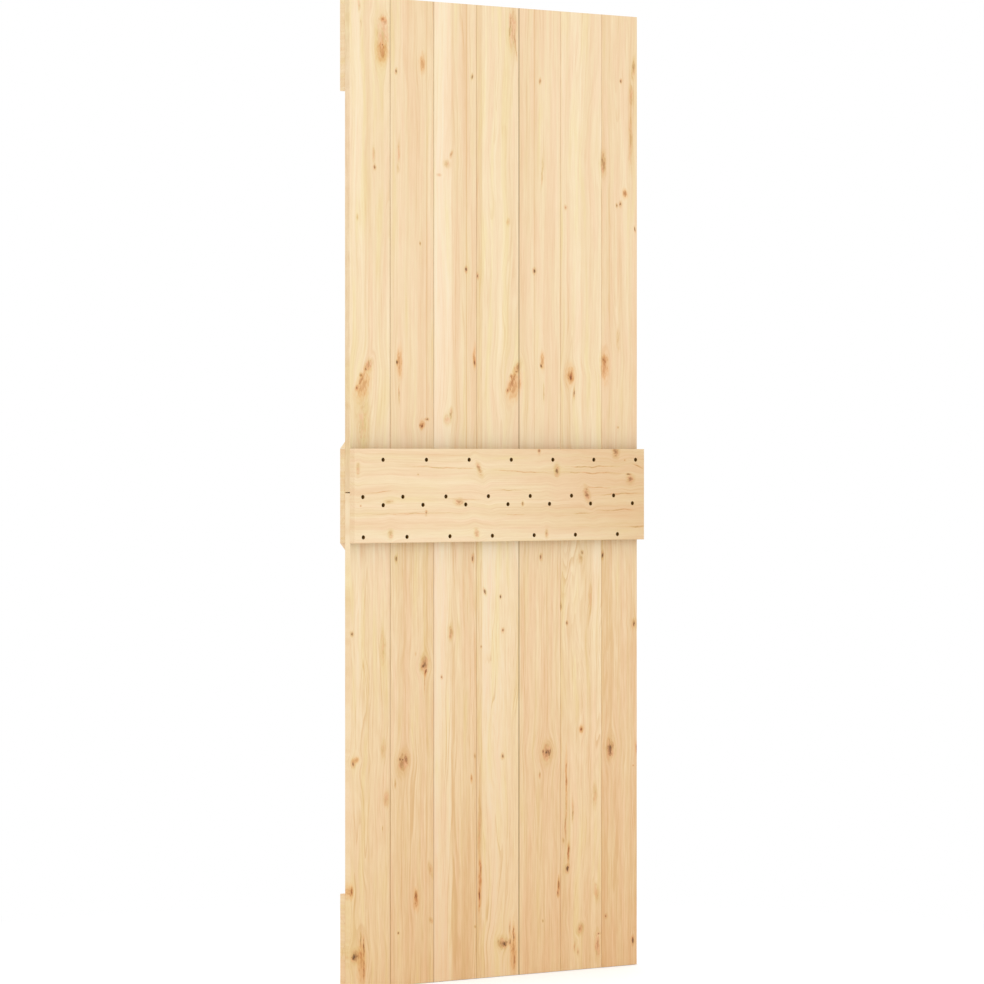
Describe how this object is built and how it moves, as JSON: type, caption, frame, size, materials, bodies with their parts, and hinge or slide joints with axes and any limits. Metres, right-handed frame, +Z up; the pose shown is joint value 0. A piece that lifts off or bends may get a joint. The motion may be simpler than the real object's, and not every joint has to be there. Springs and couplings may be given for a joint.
{
  "type": "sliding door leaf",
  "caption": "Pine plank leaf of a sliding door: upright tongue-and-groove boards, rails and diagonal braces on the front, and a screwed rail across the middle of the back.",
  "frame": {"origin": "middle of the top rail's front face, where the hangers of a sliding track are bolted on", "axes": "+X along the leaf's width, to the right as its back is looked at, +Y straight out of the braced front, +Z up along the boards"},
  "size_m": [0.8, 0.054, 2.1],
  "materials": {
    "plank_pine": "planed and sanded, untreated",
    "rail_pine": "planed and sanded, untreated",
    "brace_pine": "planed and sanded, untreated"
  },
  "bodies": {
    "root": {"upper_plank_1": "plank_pine", "upper_plank_2": "plank_pine", "upper_plank_3": "plank_pine", "upper_plank_4": "plank_pine", "upper_plank_5": "plank_pine", "upper_plank_6": "plank_pine", "upper_plank_7": "plank_pine", "lower_plank_1": "plank_pine", "lower_plank_2": "plank_pine", "lower_plank_3": "plank_pine", "lower_plank_4": "plank_pine", "lower_plank_5": "plank_pine", "lower_plank_6": "plank_pine", "lower_plank_7": "plank_pine", "top_rail": "rail_pine", "middle_rail": "rail_pine", "bottom_rail": "rail_pine", "back_rail": "rail_pine", "upper_brace": "brace_pine", "lower_brace": "brace_pine"}
  },
  "joints": []
}
